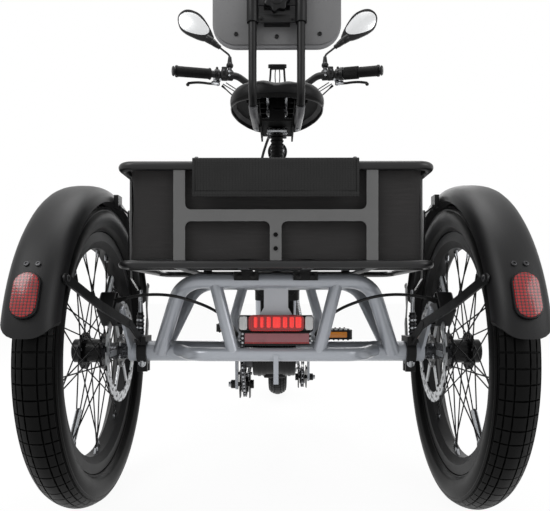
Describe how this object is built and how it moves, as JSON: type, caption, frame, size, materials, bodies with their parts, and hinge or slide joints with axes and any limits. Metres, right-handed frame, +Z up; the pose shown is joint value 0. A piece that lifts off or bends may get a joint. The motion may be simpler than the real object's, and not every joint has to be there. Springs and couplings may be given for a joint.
{
  "type": "electric tricycle",
  "caption": "Adult electric cargo tricycle: silver step-through frame, spoked 20 inch wheels, rear basket, padded saddle and backrest.",
  "frame": {"origin": "on the ground under the middle of the whole machine", "axes": "+Z up, +Y towards the front wheel, +X to the rider's right"},
  "size_m": [0.735, 1.7091, 1.3192],
  "materials": {
    "basket_cloth": "woven",
    "basket_steel": "satin",
    "black_steel": "satin",
    "cog_steel": "satin",
    "disc_steel": "machined",
    "frame_silver": "satin",
    "grip_rubber": "matte",
    "hose_rubber": "satin",
    "motor_black": "satin",
    "mudguard_black": "matte",
    "plastic_black": "satin",
    "red_lens": "gloss",
    "ribbed_webbing": "ribbed",
    "seat_vinyl": "matte",
    "tyre_rubber": "matte",
    "wheel_alloy": "satin"
  },
  "bodies": {
    "frame": {"axle_tube": "frame_silver", "basket_flap": "ribbed_webbing", "basket_floor": "black_steel", "basket_liner": "basket_cloth", "basket_panels": "basket_steel", "basket_rim": "black_steel", "basket_saddles": "black_steel", "battery": "plastic_black", "brake_hose_left": "hose_rubber", "brake_hose_right": "hose_rubber", "bumper": "frame_silver", "chains": "cog_steel", "front_hoop": "frame_silver", "hoop_struts": "frame_silver", "jackshaft": "cog_steel", "light_bracket": "frame_silver", "main_frame": "frame_silver", "motor": "motor_black", "mudguard_left": "mudguard_black", "mudguard_right": "mudguard_black", "mudguard_stays": "black_steel", "rear_calipers": "motor_black", "rear_cog": "cog_steel", "rear_hoop": "frame_silver", "reflectors": "red_lens", "tail_light": "red_lens", "tensioner": "black_steel"},
    "seat": {"seat_post": "grip_rubber", "saddle": "seat_vinyl", "saddle_bracket": "black_steel", "backrest_posts": "black_steel"},
    "backrest": {"backrest_carrier": "mudguard_black", "backrest_pad": "seat_vinyl"},
    "steering": {"fork": "frame_silver", "front_mudguard": "mudguard_black", "stem": "black_steel", "handlebar": "black_steel", "grips": "grip_rubber", "brake_levers": "motor_black", "mirrors": "black_steel", "display": "plastic_black", "headlight": "plastic_black", "front_caliper": "motor_black", "bar_cable_left": "hose_rubber", "bar_cable_right": "hose_rubber", "cable_loom": "hose_rubber"},
    "front_wheel": {"front_tyre": "tyre_rubber", "front_wheel": "wheel_alloy", "front_rotor": "disc_steel"},
    "rear_wheel_left": {"rear_tyre_left": "tyre_rubber", "rear_wheel_left": "wheel_alloy", "rear_rotor_left": "disc_steel"},
    "rear_wheel_right": {"rear_tyre_right": "tyre_rubber", "rear_wheel_right": "wheel_alloy", "rear_rotor_right": "disc_steel"},
    "crank": {"crankset": "cog_steel"},
    "pedal_left": {"pedal_left": "grip_rubber"},
    "pedal_right": {"pedal_right": "grip_rubber"}
  },
  "joints": [
    {"name": "steer", "type": "hinge", "parent": "frame", "child": "steering", "pos_m": [0, 0.54531, 0.25161], "axis": [0, -0.342, 0.9397], "range_deg": [-45, 45], "deforming": ["cable_loom"]},
    {"name": "front_wheel_spin", "type": "hinge", "parent": "steering", "child": "front_wheel", "pos_m": [0, 0.5876, 0.267], "axis": [1, 0, 0], "continuous": true},
    {"name": "rear_left_spin", "type": "hinge", "parent": "frame", "child": "rear_wheel_left", "pos_m": [-0.328, -0.5624, 0.267], "axis": [1, 0, 0], "continuous": true},
    {"name": "rear_right_spin", "type": "hinge", "parent": "frame", "child": "rear_wheel_right", "pos_m": [0.328, -0.5624, 0.267], "axis": [1, 0, 0], "continuous": true},
    {"name": "crank_spin", "type": "hinge", "parent": "frame", "child": "crank", "pos_m": [0, 0.0576, 0.27], "axis": [1, 0, 0], "continuous": true},
    {"name": "pedal_left_spin", "type": "hinge", "parent": "crank", "child": "pedal_left", "pos_m": [-0.19, 0.2226, 0.27], "axis": [1, 0, 0], "continuous": true},
    {"name": "pedal_right_spin", "type": "hinge", "parent": "crank", "child": "pedal_right", "pos_m": [0.19, -0.1074, 0.27], "axis": [1, 0, 0], "continuous": true},
    {"name": "seat_height", "type": "slide", "parent": "frame", "child": "seat", "axis": [0, -0.2924, 0.9563], "range_m": [-0.035, 0.07]},
    {"name": "backrest_height", "type": "slide", "parent": "seat", "child": "backrest", "axis": [0, 0, 1], "range_m": [-0.02, 0.06]}
  ]
}
